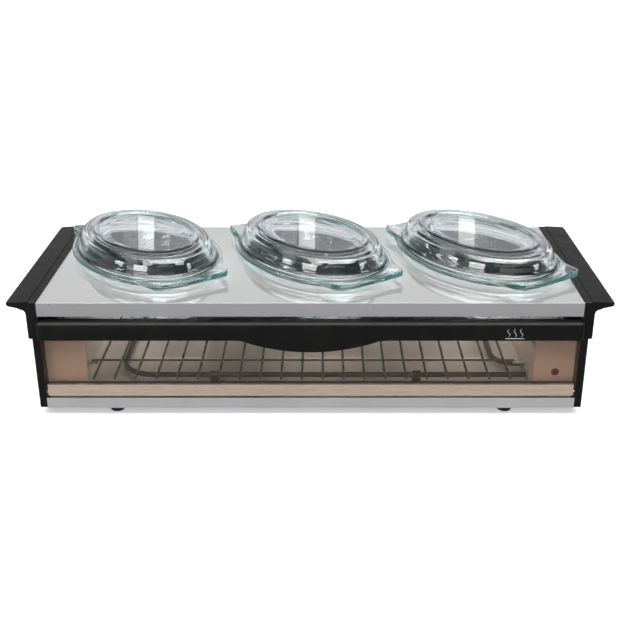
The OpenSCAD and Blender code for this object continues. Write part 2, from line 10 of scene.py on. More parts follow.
import bmesh
import bpy
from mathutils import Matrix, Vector

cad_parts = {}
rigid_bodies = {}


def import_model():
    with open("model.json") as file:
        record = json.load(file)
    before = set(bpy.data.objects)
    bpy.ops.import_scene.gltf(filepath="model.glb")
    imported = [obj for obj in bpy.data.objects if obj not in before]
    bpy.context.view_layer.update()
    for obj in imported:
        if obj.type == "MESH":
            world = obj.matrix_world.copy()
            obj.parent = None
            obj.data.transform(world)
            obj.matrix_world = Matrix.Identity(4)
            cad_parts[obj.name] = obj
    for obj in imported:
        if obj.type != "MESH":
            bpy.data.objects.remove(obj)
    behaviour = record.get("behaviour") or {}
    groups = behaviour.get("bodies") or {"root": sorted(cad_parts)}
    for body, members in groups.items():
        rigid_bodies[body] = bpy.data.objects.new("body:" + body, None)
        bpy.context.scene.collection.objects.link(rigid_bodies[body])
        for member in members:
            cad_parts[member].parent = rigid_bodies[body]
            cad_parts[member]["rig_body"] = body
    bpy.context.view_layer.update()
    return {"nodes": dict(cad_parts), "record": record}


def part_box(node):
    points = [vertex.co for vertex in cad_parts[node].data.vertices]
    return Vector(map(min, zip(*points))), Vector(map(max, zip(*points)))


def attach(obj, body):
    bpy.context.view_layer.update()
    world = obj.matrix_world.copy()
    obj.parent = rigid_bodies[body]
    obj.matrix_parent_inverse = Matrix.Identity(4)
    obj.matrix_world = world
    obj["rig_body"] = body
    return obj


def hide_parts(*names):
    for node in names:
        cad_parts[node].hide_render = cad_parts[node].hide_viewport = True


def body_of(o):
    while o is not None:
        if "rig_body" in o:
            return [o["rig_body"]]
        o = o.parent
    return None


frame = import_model()

MM = 0.001

# ---------------------------------------------------------------- frame places

panel_low, panel_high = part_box("top_panel")
bar_low, bar_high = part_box("door_handle_bar")
rack_low, rack_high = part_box("wire_rack")
element_low, element_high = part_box("heating_element")

CASE_FRONT = panel_low.y
CASE_BACK = panel_high.y
PANEL_TOP = panel_high.z


def middle(node):
    """The middle of a CAD node's box."""
    low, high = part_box(node)
    return (low + high) / 2


# ---------------------------------------------------------------- mesh helpers

SAME_POINT = 0.002 * MM             # points nearer than this are one point
SAME_PLANE = math.radians(0.6)      # faces that differ by less are one flat face
EDGE_ANGLE = math.radians(28)       # edges that turn by more are rounded
SHARP_ANGLE = math.radians(50)      # edges that turn by more stay sharp in the shading


def add_piece(name, mesh, material, body, replaces=()):
    """A new mesh object that rides on a body and may stand for CAD nodes."""
    piece = bpy.data.objects.new(name, mesh)
    bpy.context.scene.collection.objects.link(piece)
    mesh.materials.clear()
    mesh.materials.append(material)
    mesh.polygons.foreach_set("use_smooth", [True] * len(mesh.polygons))
    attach(piece, body)
    if replaces:
        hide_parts(*replaces)
    return piece


def mesh_from(name, points, faces):
    """A mesh with its faces turned outwards."""
    mesh = bpy.data.meshes.new(name)
    mesh.from_pydata([tuple(p) for p in points], [], faces)
    work = bmesh.new()
    work.from_mesh(mesh)
    bmesh.ops.recalc_face_normals(work, faces=work.faces)
    work.to_mesh(mesh)
    work.free()
    return mesh


def join_meshes(name, meshes):
    """One mesh that holds all of these as loose parts."""
    points, faces = [], []
    for mesh in meshes:
        start = len(points)
        points += [v.co.copy() for v in mesh.vertices]
        faces += [[start + i for i in p.vertices] for p in mesh.polygons]
        bpy.data.meshes.remove(mesh)
    return mesh_from(name, points, faces)


def skin(name, rings):
    """A closed skin through equal rings of points, with a flat cap at both ends."""
    count = len(rings[0])
    points = [p for ring in rings for p in ring]
    faces = []
    for k in range(len(rings) - 1):
        for i in range(count):
            j = (i + 1) % count
            faces.append([k * count + i, k * count + j, (k + 1) * count + j, (k + 1) * count + i])
    faces.append(list(range(count)))
    faces.append([(len(rings) - 1) * count + i for i in range(count)])
    return mesh_from(name, points, faces)


NOSE_STEPS, NOSE_TIP = 4, 0.35      # rings in a rounded end, and where the first one lies


def sweep(name, route, radius, sides, nose=0.0):
    """A round tube along a list of points. A nose over 0 rounds both ends."""
    route = [Vector(p) for p in route]
    last = len(route) - 1
    ways = [(route[min(i + 1, last)] - route[max(i - 1, 0)]).normalized() for i in range(last + 1)]
    spoke = ways[0].orthogonal().normalized()
    frames = []
    for place, way in zip(route, ways):
        spoke = (spoke - way * spoke.dot(way)).normalized()
        frames.append((place, way, spoke.copy(), way.cross(spoke)))

    def ring(at, spoke, other, r):
        turn = [2 * math.pi * i / sides for i in range(sides)]
        return [at + (spoke * math.cos(t) + other * math.sin(t)) * r for t in turn]

    def nose_rings(frame_at_end, sign):
        """The rings of one rounded end, from its tip to the tube."""
        place, way, spoke, other = frame_at_end
        rings = []
        for i in range(NOSE_STEPS):
            a = math.pi / 2 * (i + NOSE_TIP) / NOSE_STEPS
            reach = way * nose * math.cos(a)
            rings.append(ring(place + reach * sign, spoke, other, radius * math.sin(a)))
        return rings

    out = nose_rings(frames[0], -1) if nose else []
    out += [ring(place, spoke, other, radius) for place, way, spoke, other in frames]
    out += reversed(nose_rings(frames[-1], 1)) if nose else []
    return skin(name, out)


def softened(node, slot, width):
    """A copy of a CAD node with its facets cleaned up and its edges rounded by width mm."""
    source = frame["nodes"][node]
    mesh = source.data.copy()
    work = bmesh.new()
    work.from_mesh(mesh)
    bmesh.ops.remove_doubles(work, verts=work.verts, dist=SAME_POINT)
    bmesh.ops.dissolve_limit(work, angle_limit=SAME_PLANE, verts=work.verts, edges=work.edges)
    bmesh.ops.recalc_face_normals(work, faces=work.faces)
    work.to_mesh(mesh)
    work.free()
    mesh.name = node + "_soft"
    for name in [a.name for a in mesh.attributes if a.name.startswith("custom_normal")]:
        mesh.attributes.remove(mesh.attributes[name])
    body = body_of(source)[0]
    piece = add_piece(node + "_skin", mesh, LOOKS[slot], body, [node])
    round_edges(piece, width, 3 if width > 0.5 else 2, EDGE_ANGLE)
    finish_mesh(piece)


def round_edges(piece, width, segments, angle):
    """Adds a bevel of width mm to the edges that turn by more than the angle."""
    bevel = piece.modifiers.new("edges", "BEVEL")
    bevel.width = width * MM
    bevel.segments = segments
    bevel.limit_method = "ANGLE"
    bevel.angle_limit = angle
    bevel.use_clamp_overlap = True


def apply_modifiers(piece):
    """Turns the piece's modifiers into its mesh."""
    graph = bpy.context.evaluated_depsgraph_get()
    made = bpy.data.meshes.new_from_object(piece.evaluated_get(graph))
    piece.modifiers.clear()
    piece.data = made


def finish_mesh(piece):
    """Applies the modifiers, keeps true corners sharp and keeps flat faces flat."""
    apply_modifiers(piece)
    piece.data.set_sharp_from_angle(angle=SHARP_ANGLE)
    weigh = piece.modifiers.new("normals", "WEIGHTED_NORMAL")
    weigh.weight = 100
    weigh.keep_sharp = True
    apply_modifiers(piece)


def line_with(piece, look, belongs):
    """Gives the faces of a piece that belong to one of its sides another finish."""
    mesh = piece.data
    mesh.materials.append(LOOKS[look])
    for face in mesh.polygons:
        if belongs(face.center, face.normal):
            face.material_index = len(mesh.materials) - 1


# ---------------------------------------------------------------- materials

class Look:
    """A Principled material and short ways to add procedural detail to it."""

    def __init__(self, name, colour, roughness=0.5, metallic=0.0, **sockets):
        self.material = bpy.data.materials.new(name)
        self.material.use_nodes = True
        self.tree = self.material.node_tree
        self.shader = self.tree.nodes["Principled BSDF"]
        self.out = self.tree.nodes["Material Output"]
        self.colour = colour
        self.roughness = roughness
        self.set("Base Color", (*colour, 1))
        self.set("Roughness", roughness)
        self.set("Metallic", metallic)
        for key, value in sockets.items():
            self.set(key.replace("_", " "), value)

    def set(self, socket, value):
        """Sets a constant on one of the shader's own sockets."""
        self.shader.inputs[socket].default_value = value

    def node(self, kind, **inputs):
        """A new node with constants on its inputs."""
        made = self.tree.nodes.new(kind)
        for key, value in inputs.items():
            made.inputs[key.replace("_", " ")].default_value = value
        return made

    def link(self, a, b):
        """Joins an output to an input."""
        self.tree.links.new(a, b)

    def place(self, stretch):
        """Object coordinates in metres, squeezed by stretch."""
        coords = self.node("ShaderNodeTexCoord")
        mapping = self.node("ShaderNodeMapping")
        mapping.inputs["Scale"].default_value = stretch
        self.link(coords.outputs["Object"], mapping.inputs["Vector"])
        return mapping.outputs["Vector"]

    def noise(self, scale, stretch, detail):
        """Cloudy noise from 0 to 1, with scale patches to the metre."""
        made = self.node("ShaderNodeTexNoise", Scale=scale, Detail=detail)
        self.link(self.place(stretch), made.inputs["Vector"])
        return made.outputs["Fac"]

    def ramp(self, value, low, high):
        """A colour that runs from low to high over the middle of the value's range."""
        made = self.node("ShaderNodeValToRGB")
        made.color_ramp.elements[0].position = 0.35
        made.color_ramp.elements[1].position = 0.65
        made.color_ramp.elements[0].color = (*low, 1)
        made.color_ramp.elements[1].color = (*high, 1)
        self.link(value, made.inputs["Fac"])
        return made.outputs["Color"]

    def spread(self, value, low, high, start=0.3, end=0.7):
        """A number that runs from low to high as the value goes from start to end."""
        made = self.node("ShaderNodeMapRange")
        made.inputs["From Min"].default_value = start
        made.inputs["From Max"].default_value = end
        made.inputs["To Min"].default_value = low
        made.inputs["To Max"].default_value = high
        self.link(value, made.inputs["Value"])
        return made.outputs["Result"]

    def mottle(self, scale, amount, stretch=(1, 1, 1), detail=3.0):
        """Varies the colour by the given share, up and down."""
        low = tuple(c * (1 - amount) for c in self.colour)
        high = tuple(min(1, c * (1 + amount)) for c in self.colour)
        colour = self.ramp(self.noise(scale, stretch, detail), low, high)
        self.link(colour, self.shader.inputs["Base Color"])
        return self

    def gloss(self, scale, amount, stretch=(1, 1, 1), detail=3.0):
        """Varies the roughness up and down by the given amount."""
        low, high = max(0.02, self.roughness - amount), self.roughness + amount
        roughness = self.spread(self.noise(scale, stretch, detail), low, high)
        self.link(roughness, self.shader.inputs["Roughness"])
        return self

    def bump(self, scale, height, stretch=(1, 1, 1), detail=2.0):
        """Relief of the given height in millimetres."""
        made = self.node("ShaderNodeBump", Strength=1.0, Distance=height * MM)
        self.link(self.noise(scale, stretch, detail), made.inputs["Height"])
        self.link(made.outputs["Normal"], self.shader.inputs["Normal"])
        return self

    def lets_lamps_through(self, tint):
        """Light from lamps goes straight through the glass instead of leaving a dark shadow."""
        path = self.node("ShaderNodeLightPath")
        clear = self.node("ShaderNodeBsdfTransparent", Color=(*tint, 1))
        mix = self.node("ShaderNodeMixShader")
        self.link(path.outputs["Is Shadow Ray"], mix.inputs[0])
        self.link(self.shader.outputs["BSDF"], mix.inputs[1])
        self.link(clear.outputs["BSDF"], mix.inputs[2])
        self.link(mix.outputs["Shader"], self.out.inputs["Surface"])
        return self

    def dims_its_bounce(self, colour):
        """The surface lights and mirrors in other things as if it had this darker colour."""
        path = self.node("ShaderNodeLightPath")
        either = self.node("ShaderNodeMath")
        either.operation = "MAXIMUM"
        grey = self.node("ShaderNodeBsdfDiffuse", Color=(*colour, 1))
        mix = self.node("ShaderNodeMixShader")
        self.link(path.outputs["Is Diffuse Ray"], either.inputs[0])
        self.link(path.outputs["Is Glossy Ray"], either.inputs[1])
        self.link(either.outputs["Value"], mix.inputs[0])
        self.link(self.shader.outputs["BSDF"], mix.inputs[1])
        self.link(grey.outputs["BSDF"], mix.inputs[2])
        self.link(mix.outputs["Shader"], self.out.inputs["Surface"])
        return self


ALONG_X = (1, 60, 60)               # stretches a texture into fine lines along X
LID_PAINTED_GLOW, DISH_PAINTED_GLOW = 0.2, 1.8      # painted glow: emission that stands for the light the glass's edges would collect


def make_looks():
    """Every material of the object, by the record's slot name. Each is a colour and a
    roughness, then its colour patches, its gloss patches and its fine relief in mm."""
    looks = {}
    black = Look("black_moulding", (0.006, 0.0055, 0.0052), 0.43, Specular_IOR_Level=0.13)
    looks["black_moulding"] = black.mottle(35, 0.25).gloss(60, 0.06).bump(2600, 0.02, detail=1.0)
    panel = Look("panel_satin", (0.57, 0.58, 0.565), 0.045, metallic=0.5)
    looks["panel_satin"] = panel.mottle(9, 0.02).gloss(14, 0.03, detail=5.0).bump(900, 0.0012, ALONG_X)
    # a darker copy of the panel's finish for its front lip: the darker colour is painted shade on the
    # same sheet
    lip = Look("panel_lip_painted_shade", (0.41, 0.41, 0.425), 0.3, metallic=0.4)
    looks["panel_lip_painted_shade"] = lip.mottle(9, 0.02).gloss(12, 0.03).bump(900, 0.0008, ALONG_X)
    tray = Look("tray_satin", (0.58, 0.58, 0.60), 0.34, metallic=0.6)
    looks["tray_satin"] = tray.mottle(12, 0.04).gloss(40, 0.05, ALONG_X).bump(700, 0.004, ALONG_X)
    sheet = Look("sheet_steel", (0.50, 0.50, 0.49), 0.36, metallic=1.0)
    looks["sheet_steel"] = sheet.mottle(22, 0.12, detail=6.0).gloss(30, 0.08).bump(300, 0.004)
    mirror = Look("reflector", (0.62, 0.545, 0.50), 0.42, metallic=0.5)
    mirror.mottle(9, 0.26, (1, 0.25, 1), 4.0).gloss(25, 0.08)
    looks["reflector"] = mirror.bump(120, 0.03, (1, 0.3, 1))
    face = Look("face_paint", (0.44, 0.36, 0.325), 0.38)
    looks["face_paint"] = face.mottle(18, 0.04).gloss(50, 0.05).bump(900, 0.006)
    rail = Look("rail_anodised", (0.71, 0.56, 0.45), 0.30, metallic=0.85)
    rail.mottle(14, 0.06, (1, 30, 30)).gloss(60, 0.06, ALONG_X)
    looks["rail_anodised"] = rail.bump(600, 0.006, ALONG_X)
    seal = Look("seal_rubber", (0.012, 0.012, 0.012), 0.6)
    looks["seal_rubber"] = seal.mottle(80, 0.3).bump(1500, 0.02)
    element = Look("element_sheath", (0.055, 0.042, 0.037), 0.42, metallic=0.7)
    looks["element_sheath"] = element.mottle(45, 0.45, detail=6.0).gloss(90, 0.12).bump(1500, 0.02)
    wire = Look("rack_wire", (0.085, 0.066, 0.060), 0.32, metallic=0.85)
    looks["rack_wire"] = wire.mottle(60, 0.35, detail=4.0).gloss(120, 0.1).bump(1800, 0.01)
    plated = Look("fastener", (0.62, 0.61, 0.59), 0.2, metallic=1.0)
    looks["fastener"] = plated.mottle(300, 0.1).gloss(400, 0.08).bump(3000, 0.004)
    brass = Look("brass_part", (0.62, 0.44, 0.18), 0.3, metallic=1.0)
    looks["brass_part"] = brass.mottle(200, 0.15).gloss(300, 0.1).bump(2500, 0.005)
    ceramic = Look("ceramic_white", (0.70, 0.67, 0.60), 0.3, Coat_Weight=0.3)
    looks["ceramic_white"] = ceramic.mottle(150, 0.05).gloss(200, 0.06).bump(1200, 0.01)
    bakelite = Look("dark_bakelite", (0.035, 0.024, 0.018), 0.28, Coat_Weight=0.2)
    looks["dark_bakelite"] = bakelite.mottle(220, 0.4).gloss(200, 0.08).bump(1500, 0.008)
    neon = Look("neon_red", (0.09, 0.0005, 0.002), 0.45, Specular_IOR_Level=0.05)
    looks["neon_red"] = neon.mottle(300, 0.25).gloss(500, 0.04).bump(900, 0.03)
    leads = Look("lead_sleeve", (0.22, 0.12, 0.06), 0.6)
    looks["lead_sleeve"] = leads.mottle(90, 0.5).gloss(200, 0.1).bump(2500, 0.03)
    foot = Look("foot_rubber", (0.012, 0.012, 0.012), 0.62)
    looks["foot_rubber"] = foot.mottle(90, 0.3).gloss(150, 0.08).bump(2200, 0.02)
    # near-black paint for the back panel: painted shade that keeps the cavity behind the dishes dark
    dark = Look("dark_paint", (0.014, 0.013, 0.012), 0.5, Specular_IOR_Level=0.3)
    looks["dark_paint"] = dark.mottle(30, 0.3).gloss(60, 0.08).bump(900, 0.01)
    # dark heat-tinted steel: the clips' finish; on the end plates and along the rail's top it also
    # stands as painted shade
    heat = Look("heat_steel", (0.06, 0.048, 0.042), 0.36, metallic=0.9)
    looks["heat_steel"] = heat.mottle(80, 0.35, detail=5.0).gloss(120, 0.1).bump(900, 0.006)
    looks["clear_glass"] = clear_glass("clear_glass", LID_PAINTED_GLOW)
    looks["dish_glass"] = clear_glass("dish_glass", DISH_PAINTED_GLOW)
    looks["bronze_glass"] = bronze_glass()
    mark = Look("printed_mark", (0.62, 0.62, 0.62), 0.35, metallic=0.3)
    looks["printed_mark"] = mark.mottle(400, 0.06).gloss(500, 0.05).bump(3000, 0.003)
    return {slot: look.material for slot, look in looks.items()}


def clear_glass(name, glow):
    """Moulded glass: clear across a wall, and blue-green along it, with a faint painted glow,
    an emission that stands for the light caught in its edges."""
    look = Look(name, (1, 1, 1), 0.0, Transmission_Weight=1.0, IOR=1.47)
    soak = look.node("ShaderNodeVolumeAbsorption", Color=(0.0, 0.80, 0.80, 1), Density=5.0)
    # painted light: a teal emission inside the glass, though the glass is no lamp
    light = look.node("ShaderNodeEmission", Color=(0.45, 1.0, 0.98, 1), Strength=glow)
    both = look.node("ShaderNodeAddShader")
    look.link(soak.outputs["Volume"], both.inputs[0])
    look.link(light.outputs["Emission"], both.inputs[1])
    look.link(both.outputs["Shader"], look.out.inputs["Volume"])
    return look.bump(16, 0.012, detail=0.0).lets_lamps_through((0.84, 0.86, 0.86))


def bronze_glass():
    """Flat smoked glass."""
    look = Look("bronze_glass", (0.78, 0.67, 0.59), 0.0, Transmission_Weight=1.0, IOR=1.45)
    return look.mottle(3, 0.01).lets_lamps_through((0.85, 0.78, 0.71))


LOOKS = make_looks()


# ---------------------------------------------------------------- case

def filled_outline(outer, holes):
    """A flat mesh, at z = 0, of an outline with holes in it."""
    curve = bpy.data.curves.new("outline", "CURVE")
    curve.dimensions = "2D"
    curve.fill_mode = "BOTH"
    for loop in [outer, *holes]:
        spline = curve.splines.new("POLY")
        spline.points.add(len(loop) - 1)
        for point, (x, y) in zip(spline.points, loop):
            point.co = (x, y, 0, 1)
        spline.use_cyclic_u = True
    holder = bpy.data.objects.new("outline", curve)
    bpy.context.scene.collection.objects.link(holder)
    graph = bpy.context.evaluated_depsgraph_get()
    mesh = bpy.data.meshes.new_from_object(holder.evaluated_get(graph))
    bpy.data.objects.remove(holder)
    bpy.data.curves.remove(curve)
    return mesh


DISH_A, DISH_B = 112, 75            # half length and half width of a dish's body, in mm
DISH_TURN = math.radians(-56)
OVAL_POINTS = 192


def oval(a, b, place):
    """Points of a turned oval of half sizes a and b, in metres, about a place."""
    out = []
    for i in range(OVAL_POINTS):
        t = 2 * math.pi * i / OVAL_POINTS
        x, y = a * math.cos(t), b * math.sin(t)
        out.append((place.x + x * math.cos(DISH_TURN) - y * math.sin(DISH_TURN),
                    place.y + x * math.sin(DISH_TURN) + y * math.cos(DISH_TURN)))
    return out


def make_top_panel():
    """One folded sheet: rounded folds to the lips, and a rolled edge round each cut-out."""
    thick, fold, skirt = 1.2 * MM, 0.3 * MM, 1.6 * MM
    x0, x1 = panel_low.x, panel_high.x
    y0, y1, top = CASE_FRONT, CASE_BACK, PANEL_TOP
    centres = [middle("dish_" + s) for s in ("left", "middle", "right")]
    gap, roll = 1.0 * MM, 1.6 * MM
    holes = [oval(DISH_A * MM + gap + roll, DISH_B * MM + gap + roll, c) for c in centres]
    outer = [(x0, y0 + fold), (x1, y0 + fold), (x1, y1 - fold), (x0, y1 - fold)]
    mesh = filled_outline(outer, holes)
    work = bmesh.new()
    work.from_mesh(mesh)
    for v in work.verts:
        v.co.z = top
    steps = 6
    for centre in centres:
        rings = []
        for k in range(steps + 2):
            a = math.pi / 2 * min(k, steps) / steps
            out = gap + roll * (1 - math.sin(a))
            z = top - roll * (1 - math.cos(a)) - (skirt if k > steps else 0)
            rings.append([work.verts.new((x, y, z))
                          for x, y in oval(DISH_A * MM + out, DISH_B * MM + out, centre)])
        for one, two in zip(rings, rings[1:]):
            for i in range(OVAL_POINTS):
                j = (i + 1) % OVAL_POINTS
                work.faces.new([one[i], one[j], two[j], two[i]])
    for y, way in ((y0, -1), (y1, 1)):
        rows = []
        for k in range(steps + 2):
            a = math.pi / 2 * min(k, steps) / steps
            yy = y - way * fold * (1 - math.sin(a))
            z = top - fold * (1 - math.cos(a)) if k <= steps else panel_low.z
            rows.append([work.verts.new((x, yy, z)) for x in (x0, x1)])
        for one, two in zip(rows, rows[1:]):
            work.faces.new([one[0], one[1], two[1], two[0]])
    bmesh.ops.remove_doubles(work, verts=work.verts, dist=0.02 * MM)
    bmesh.ops.recalc_face_normals(work, faces=work.faces)
    up = sum(f.normal.z * f.calc_area() for f in work.faces)
    if up < 0:
        bmesh.ops.reverse_faces(work, faces=work.faces)
    work.to_mesh(mesh)
    work.free()
    piece = add_piece("top_panel_sheet", mesh, LOOKS["panel_satin"], "server",
                      ["top_panel"])
    solid = piece.modifiers.new("thickness", "SOLIDIFY")
    solid.thickness = thick
    solid.offset = -1
    solid.use_even_offset = True
    round_edges(piece, 0.3, 2, SHARP_ANGLE)
    finish_mesh(piece)
    # painted shade: the front faces of the sheet take the darker copy of its finish
    near_front = y0 + 2 * MM
    line_with(piece, "panel_lip_painted_shade", lambda place, normal: abs(normal.y) > 0.2 and place.y < near_front)


# ---------------------------------------------------------------- glass

# Sizes of the glass, in mm, measured from a dish's middle
RIM_A, RIM_B = DISH_A + 12, DISH_B + 12
EAR_X, EAR_BOW = DISH_A + 20.5, 2   # where an ear's end lies, and how far it bows out
EAR_Y, EAR_ROOT = 47, 66            # half width of an ear's end, and where it meets the rim
EAR_LIFT, LIFT_FROM = 4.0, 9        # how far its tips sweep up, and above which height


def ear(y):
    """How far the fishtail ear stands beyond the rim's oval, in mm, y mm off its middle."""
    def oval_x(at):
        """Where the rim's oval lies along the dish."""
        return RIM_A * math.sqrt(max(0, 1 - (at / RIM_B) ** 2))
    if y < EAR_Y:
        return EAR_X + EAR_BOW * (1 - (y / EAR_Y) ** 2) - oval_x(y)
    if y < EAR_ROOT:
        return (EAR_X - oval_x(EAR_Y)) * ((EAR_ROOT - y) / (EAR_ROOT - EAR_Y)) ** 2
    return 0


def ear_reach():
    """The ears' extra length at each point of the oval, with their corners rounded."""
    count = OVAL_POINTS
    reach = []
    for i in range(count):
        t = 2 * math.pi * i / count
        reach.append(math.copysign(ear(abs(RIM_B * math.sin(t))), math.cos(t)))
    for _ in range(2):
        reach = [(reach[i - 1] + 2 * reach[i] + reach[(i + 1) % count]) / 4 for i in range(count)]
    return reach


REACH = ear_reach()
EAR_SPAN = max(abs(r) for r in REACH)


def glass_ring(grow_a, grow_b, z, ears, centre):
    """One ring of a dish or lid: its oval grows past the dish's by grow_a and grow_b mm.
    The ears' upper side sweeps up a little towards their tips."""
    a, b = DISH_A + grow_a, DISH_B + grow_b
    out = []
    for i in range(OVAL_POINTS):
        t = 2 * math.pi * i / OVAL_POINTS
        x = (a * math.cos(t) + ears * REACH[i]) * MM
        y = b * math.sin(t) * MM
        lift = EAR_LIFT * ears * (REACH[i] / EAR_SPAN) ** 2 if z > LIFT_FROM else 0
        out.append(Vector((centre.x + x * math.cos(DISH_TURN) - y * math.sin(DISH_TURN),
                           centre.y + x * math.sin(DISH_TURN) + y * math.cos(DISH_TURN),
                           PANEL_TOP + (z + lift) * MM)))
    return out


CORNER_STEPS = 5


def rounded_path(stations):
    """Rounds each corner of a path. A station is (values, cut): cut is how far, in mm,
    the rounding reaches along the path on both sides of the corner."""
    out = [stations[0][0]]
    for k in range(1, len(stations) - 1):
        here, cut = stations[k]
        sides = []
        for other in (stations[k - 1][0], stations[k + 1][0]):
            away = math.dist(here[:3], other[:3])
            share = min(cut / away, 0.48) if away else 0
            sides.append([h + (o - h) * share for h, o in zip(here, other)])
        count = CORNER_STEPS if cut else 0
        for i in range(count + 1):
            t = i / count if count else 0.5
            out.append([(1 - t) ** 2 * p + 2 * t * (1 - t) * h + t * t * q
                        for p, h, q in zip(sides[0], here, sides[1])])
    out.append(stations[-1][0])
    return out


DEEP = 62                           # how far a dish's foot lies under the panel, in mm
# Each station is (growth along the dish, growth across it, height over the panel, share of
# the ears' reach), cut: all in mm but the share. Both skins run from the middle outwards and back.
DISH_STATIONS = [
    ((-108, -72, -DEEP + 1.0, 0), 0), ((-60, -52, -DEEP + 1.0, 0), 0),
    ((-42, -40, -DEEP + 1.0, 0), 2), ((-40, -38.5, -DEEP, 0), 1), ((-37, -36, -DEEP, 0), 1),
    ((-20, -20, -DEEP + 1.5, 0), 12), ((-9, -9, -28, 0), 16),
    ((-0.2, -0.2, -1, 0), 1), ((0.2, 0.2, 0.25, 0), 0.6), ((3.4, 3.4, 0.25, 0), 1.2),
    ((5.2, 5.2, 4.0, 0), 1.5), ((9.5, 9.5, 6.4, 0.6), 2), ((11.6, 11.6, 6.8, 1), 1.2),
    ((12.4, 12.4, 7.4, 1), 0.8), ((12.2, 12.2, 11.2, 1), 1.0), ((8.9, 8.9, 11.0, 0.0), 1.2),
    ((8.0, 8.0, 9.1, 0), 0.8), ((0.5, 0.5, 9.1, 0), 2.0), ((-4, -4, 0, 0), 6),
    ((-13.5, -13.5, -28, 0), 16), ((-24.5, -24.5, -DEEP + 6, 0), 14),
    ((-42, -40, -DEEP + 5.4, 0), 6), ((-108, -72, -DEEP + 5.4, 0), 0)]
LID_STATIONS = [
    ((-108, -72, 29.1, 0), 0), ((-40, -34, 29.1, 0), 4), ((-30, -24.5, 29.8, 0), 3),
    ((-24, -18.5, 30.8, 0), 3), ((-10, -10, 30.2, 0), 4), ((-5, -5, 25.3, 0), 4),
    ((-2.6, -2.8, 13.5, 0), 3), ((1.6, 1.6, 9.5, 0), 1), ((6.3, 6.3, 9.5, 0), 1),
    ((6.6, 6.6, 13.2, 0), 1.4), ((3.9, 3.9, 14.0, 0), 1.4), ((2.6, 2.4, 15.8, 0), 1.5),
    ((2.0, 1.8, 19.5, 0), 4.0), ((-0.3, -0.5, 27.4, 0), 2.2), ((-4.4, -4.4, 33.0, 0), 2.4),
    ((-11.5, -10.2, 34.9, 0), 2.5), ((-19.5, -14.3, 35.0, 0), 1.2),
    ((-22, -16.8, 36.6, 0), 1.4), ((-26.3, -21, 36.6, 0), 1.4), ((-28.8, -23.3, 33.6, 0), 1.3),
    ((-108, -72, 33.6, 0), 0)]


def make_glassware(side):
    """One dish and its lid, as closed glass skins with rounded profiles."""
    centre = middle("dish_" + side)
    for kind, stations in (("dish", DISH_STATIONS), ("lid", LID_STATIONS)):
        node = kind + "_" + side
        rings = [glass_ring(*s, centre) for s in rounded_path(stations)]
        look = LOOKS["dish_glass" if kind == "dish" else "clear_glass"]
        body = side + "_" + kind
        finish_mesh(add_piece(node + "_glass", skin(node, rings), look, body, [node]))


# ---------------------------------------------------------------- door

# Sizes of the bar, in mm
BAR_HEIGHT, BAR_CORNER = 22.5, 4.0
BAR_COVER, COVER_DEPTH = 3.5, 8.0   # its ends lie in front of the end plates, and are shallower
GRIP_HALF, GRIP_DROP, GRIP_EASE = 82.0, 15.0, 9.0
GRIP_BLEND = 3.0                    # how softly the arc leaves the bar's lower edge


def grip_drop(x):
    """How far the curved grip hangs below the bar at x, in mm: an arc with eased ends."""
    u = abs(x) / MM
    arc = GRIP_DROP * (1 - (u / GRIP_HALF) ** 2)
    eased = (arc + math.sqrt(arc * arc + GRIP_BLEND)) / 2
    if u > GRIP_HALF + GRIP_EASE:
        return 0.0
    if u > GRIP_HALF - GRIP_EASE:
        return eased * min(1, (GRIP_HALF + GRIP_EASE - u) / (2 * GRIP_EASE))
    return eased


def bar_profile(x, half):
    """The bar's section at x, as (y, z) points in mm from the front bottom corner. They run
    from the back's top edge down and round the grip's tongue to the rounded top."""
    height, tongue, top_r = BAR_HEIGHT, 3.6, 5.0
    edge = half - abs(x) / MM
    depth = (bar_high.y - bar_low.y) / MM if edge > BAR_COVER else COVER_DEPTH
    front = BAR_CORNER - math.sqrt(max(0, BAR_CORNER ** 2 - max(0, BAR_CORNER - edge) ** 2))
    drop = grip_drop(x)
    points = [(depth - 0.8, height), (depth, height - 0.8), (depth, 0.8), (depth - 0.8, 0)]
    root = min(front + tongue + 2.2, depth - 1.0)
    points += [(root, 0), (min(front + tongue + 0.6, root - 0.1), -min(drop, 0.6)),
               (min(front + tongue, root - 0.2), -min(drop, 2.2))]
    r = min(tongue, root - 0.2 - front) / 2
    for i in range(7):
        a = math.pi * i / 6
        points.append((front + r + r * math.cos(a), -drop + r * 0.9 - r * 0.9 * math.sin(a)))
    points += [(front, height * 0.35), (front + 0.1, height * 0.6)]
    for i in range(7):
        a = math.pi / 2 * i / 6
        reach = min(top_r, depth - 1.0 - front)
        points.append((front + reach - reach * math.cos(a), height - top_r + top_r * math.sin(a)))
    return points


def make_handle_bar():
    """The bar with its rounded top, rounded ends and the grip that grows out of it."""
    half = bar_high.x / MM
    curve = [BAR_CORNER * (1 - math.cos(math.pi / 2 * k / 12)) for k in range(1, 13)]
    ends = sorted([0.02, BAR_COVER - 0.01, BAR_COVER + 0.01, *curve])
    count, long = 150, 2 * (half - BAR_CORNER)
    stations = [-half + e for e in ends]
    stations += [-half + BAR_CORNER + long * i / count for i in range(1, count)]
    stations += [half - e for e in reversed(ends)]
    base_z = bar_high.z - BAR_HEIGHT * MM
    rings = []
    for s in stations:
        rings.append([Vector((s * MM, bar_low.y + y * MM, base_z + z * MM))
                      for y, z in bar_profile(s * MM, half)])
    bar = add_piece("door_handle_bar_shell", skin("door_handle_bar", rings),
                    LOOKS["black_moulding"], "door", ["door_handle_bar"])
    bar.data.set_sharp_from_angle(angle=SHARP_ANGLE)


